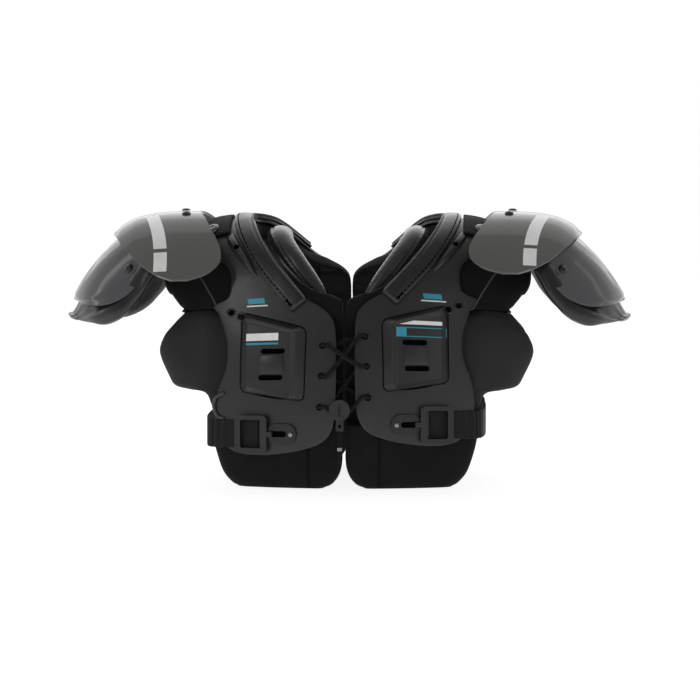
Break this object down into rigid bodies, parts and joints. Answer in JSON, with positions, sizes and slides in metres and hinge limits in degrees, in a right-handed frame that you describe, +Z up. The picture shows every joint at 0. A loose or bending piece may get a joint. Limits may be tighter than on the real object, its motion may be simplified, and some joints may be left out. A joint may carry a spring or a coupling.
{
  "type": "football shoulder pads",
  "caption": "Young player's football shoulder pads: two laced plastic arches over padding, with epaulets, shoulder cups, collar, neck rolls and side straps.",
  "frame": {"origin": "on the floor, below the middle between the two halves", "axes": "+X to the wearer's left arm, the right of someone facing the chest, +Y to the back, +Z up"},
  "size_m": [0.5412, 0.247, 0.2557],
  "materials": {
    "arch_plastic": "matte",
    "pad_fabric": "matte",
    "collar_vinyl": "soft satin",
    "smoked_plastic": "gloss",
    "cup_plastic": "gloss",
    "knit_webbing": "matte",
    "black_plastic": "satin",
    "rivet_metal": "satin",
    "lace_cord": "matte"
  },
  "bodies": {
    "root": {"arch_plate_left": "arch_plastic", "liner_left": "pad_fabric", "side_pad_front_left": "pad_fabric", "side_pad_back_left": "pad_fabric", "collar_left": "collar_vinyl", "neck_roll_left": "collar_vinyl", "epaulet_left": "smoked_plastic", "shoulder_web_left": "knit_webbing", "shoulder_cup_left": "cup_plastic", "cup_pad_left": "pad_fabric", "web_rivet_left": "rivet_metal", "epaulet_rivet_front_left": "black_plastic", "epaulet_rivet_back_left": "black_plastic", "cup_rivet_left": "black_plastic", "side_strap_left": "knit_webbing", "strap_rivet_left": "black_plastic", "hook_plate_left": "black_plastic", "hook_rivet_left": "rivet_metal", "buckle_left": "black_plastic", "arch_plate_right": "arch_plastic", "liner_right": "pad_fabric", "side_pad_front_right": "pad_fabric", "side_pad_back_right": "pad_fabric", "collar_right": "collar_vinyl", "neck_roll_right": "collar_vinyl", "epaulet_right": "smoked_plastic", "shoulder_web_right": "knit_webbing", "shoulder_cup_right": "cup_plastic", "cup_pad_right": "pad_fabric", "web_rivet_right": "rivet_metal", "epaulet_rivet_front_right": "black_plastic", "epaulet_rivet_back_right": "black_plastic", "cup_rivet_right": "black_plastic", "side_strap_right": "knit_webbing", "strap_rivet_right": "black_plastic", "hook_plate_right": "black_plastic", "hook_rivet_right": "rivet_metal", "buckle_right": "black_plastic", "lace_front": "lace_cord", "lace_lock": "black_plastic", "lace_tail": "lace_cord", "lace_crimp": "rivet_metal", "lace_back": "lace_cord"}
  },
  "joints": []
}
